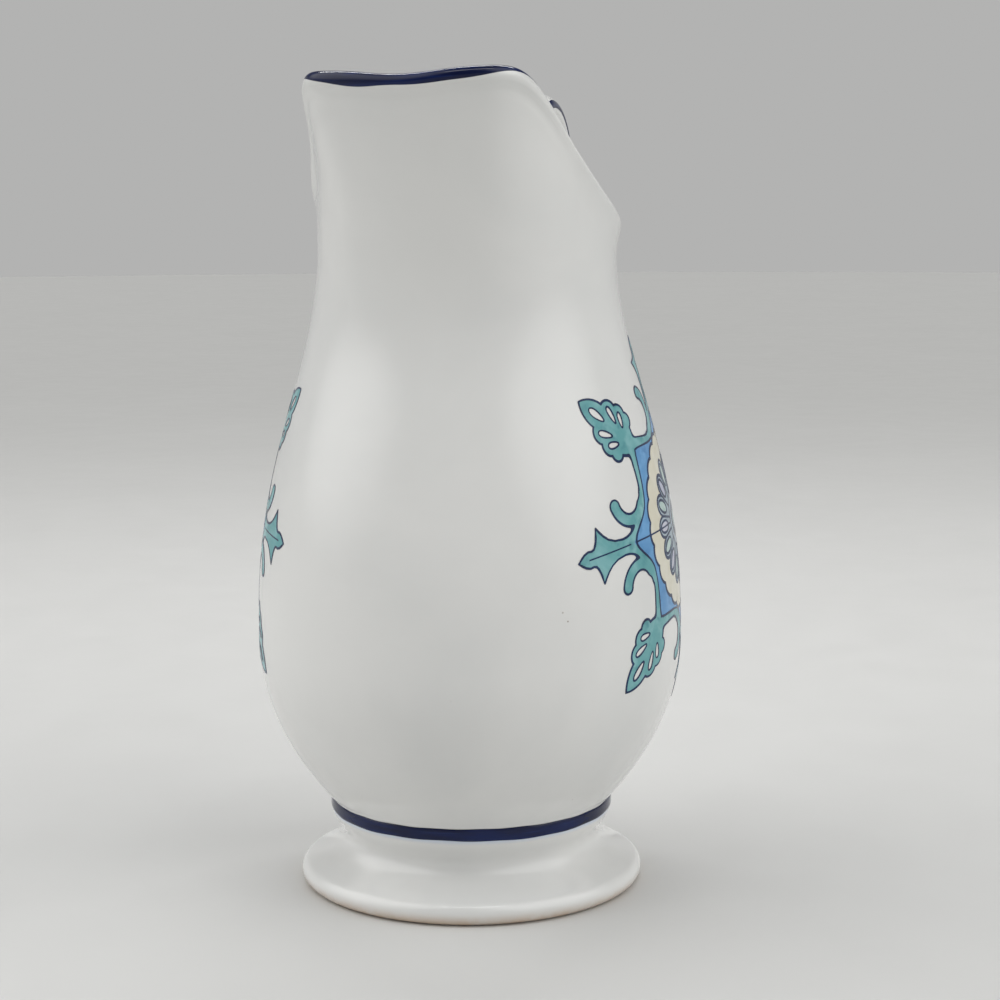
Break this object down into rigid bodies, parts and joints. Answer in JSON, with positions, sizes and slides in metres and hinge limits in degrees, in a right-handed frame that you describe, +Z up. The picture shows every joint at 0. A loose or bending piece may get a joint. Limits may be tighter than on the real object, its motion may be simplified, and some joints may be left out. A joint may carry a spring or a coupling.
{
  "type": "ewer",
  "caption": "Glazed pottery ewer: pear-shaped hollow body, high pouring spout, strap loop handle and flared hollow foot, with cobalt lines and enamel medallions; holds and pours liquid",
  "frame": {"origin": "Centre of the ring-shaped face under the foot, on the table", "axes": "+Z up along the body's axis, spout towards -Y, handle towards +Y, +X to the right seen from the spout's side; the object mirrors itself across x = 0"},
  "size_m": [0.1598, 0.202, 0.3006],
  "materials": {
    "glaze": "glossy off-white glaze",
    "slip": "fired slip under the glaze",
    "cobalt": "glossy fired cobalt line",
    "teal_enamel": "glossy enamel",
    "blue_enamel": "glossy enamel",
    "cream_enamel": "glossy enamel",
    "navy_enamel": "glossy enamel"
  },
  "bodies": {
    "root": {"body": "glaze", "foot": "glaze", "handle": "glaze", "foot_slip": "slip", "upper_slip": "slip", "lower_slip": "slip", "rim_line": "cobalt", "waist_line": "cobalt", "handle_line_left": "cobalt", "handle_line_right": "cobalt", "leaves_left": "teal_enamel", "leaves_right": "teal_enamel", "ground_left": "blue_enamel", "ground_right": "blue_enamel", "ring_left": "cream_enamel", "ring_right": "cream_enamel", "flower_left": "navy_enamel", "flower_right": "navy_enamel"}
  },
  "joints": []
}
